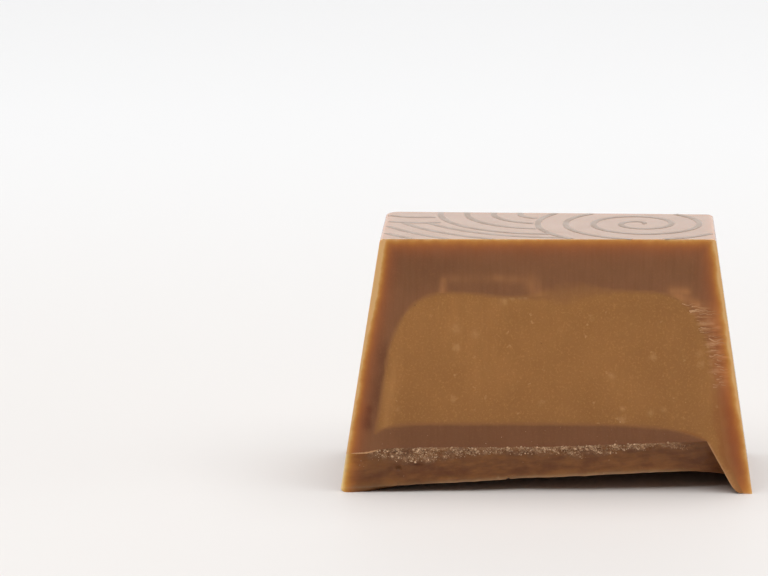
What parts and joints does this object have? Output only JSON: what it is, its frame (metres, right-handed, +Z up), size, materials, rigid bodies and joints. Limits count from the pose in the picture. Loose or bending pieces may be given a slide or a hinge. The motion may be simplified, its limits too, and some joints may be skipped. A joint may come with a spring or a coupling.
{
  "type": "half of a chocolate praline",
  "caption": "Half of a moulded milk chocolate praline with tapered sides, cut across to show its shell, nut paste filling and the snapped chocolate base that closes it.",
  "frame": {"origin": "under the middle of the half praline's box, on the surface that it stands on", "axes": "+X along the length of the cut, +Y from the cut into the praline, +Z up"},
  "size_m": [0.0284, 0.013, 0.0178],
  "materials": {
    "shell_chocolate": "milk chocolate, glossy where it left the mould and satin where the knife cut it, warmer at its thin edges",
    "nut_paste": "smooth nut paste, golden brown, with fine light specks and knife marks",
    "base_chocolate": "milk chocolate, satin where it was cut and rough and crumbly where it snapped"
  },
  "bodies": {
    "root": {"shell": "shell_chocolate", "filling": "nut_paste", "base": "base_chocolate"}
  },
  "joints": []
}
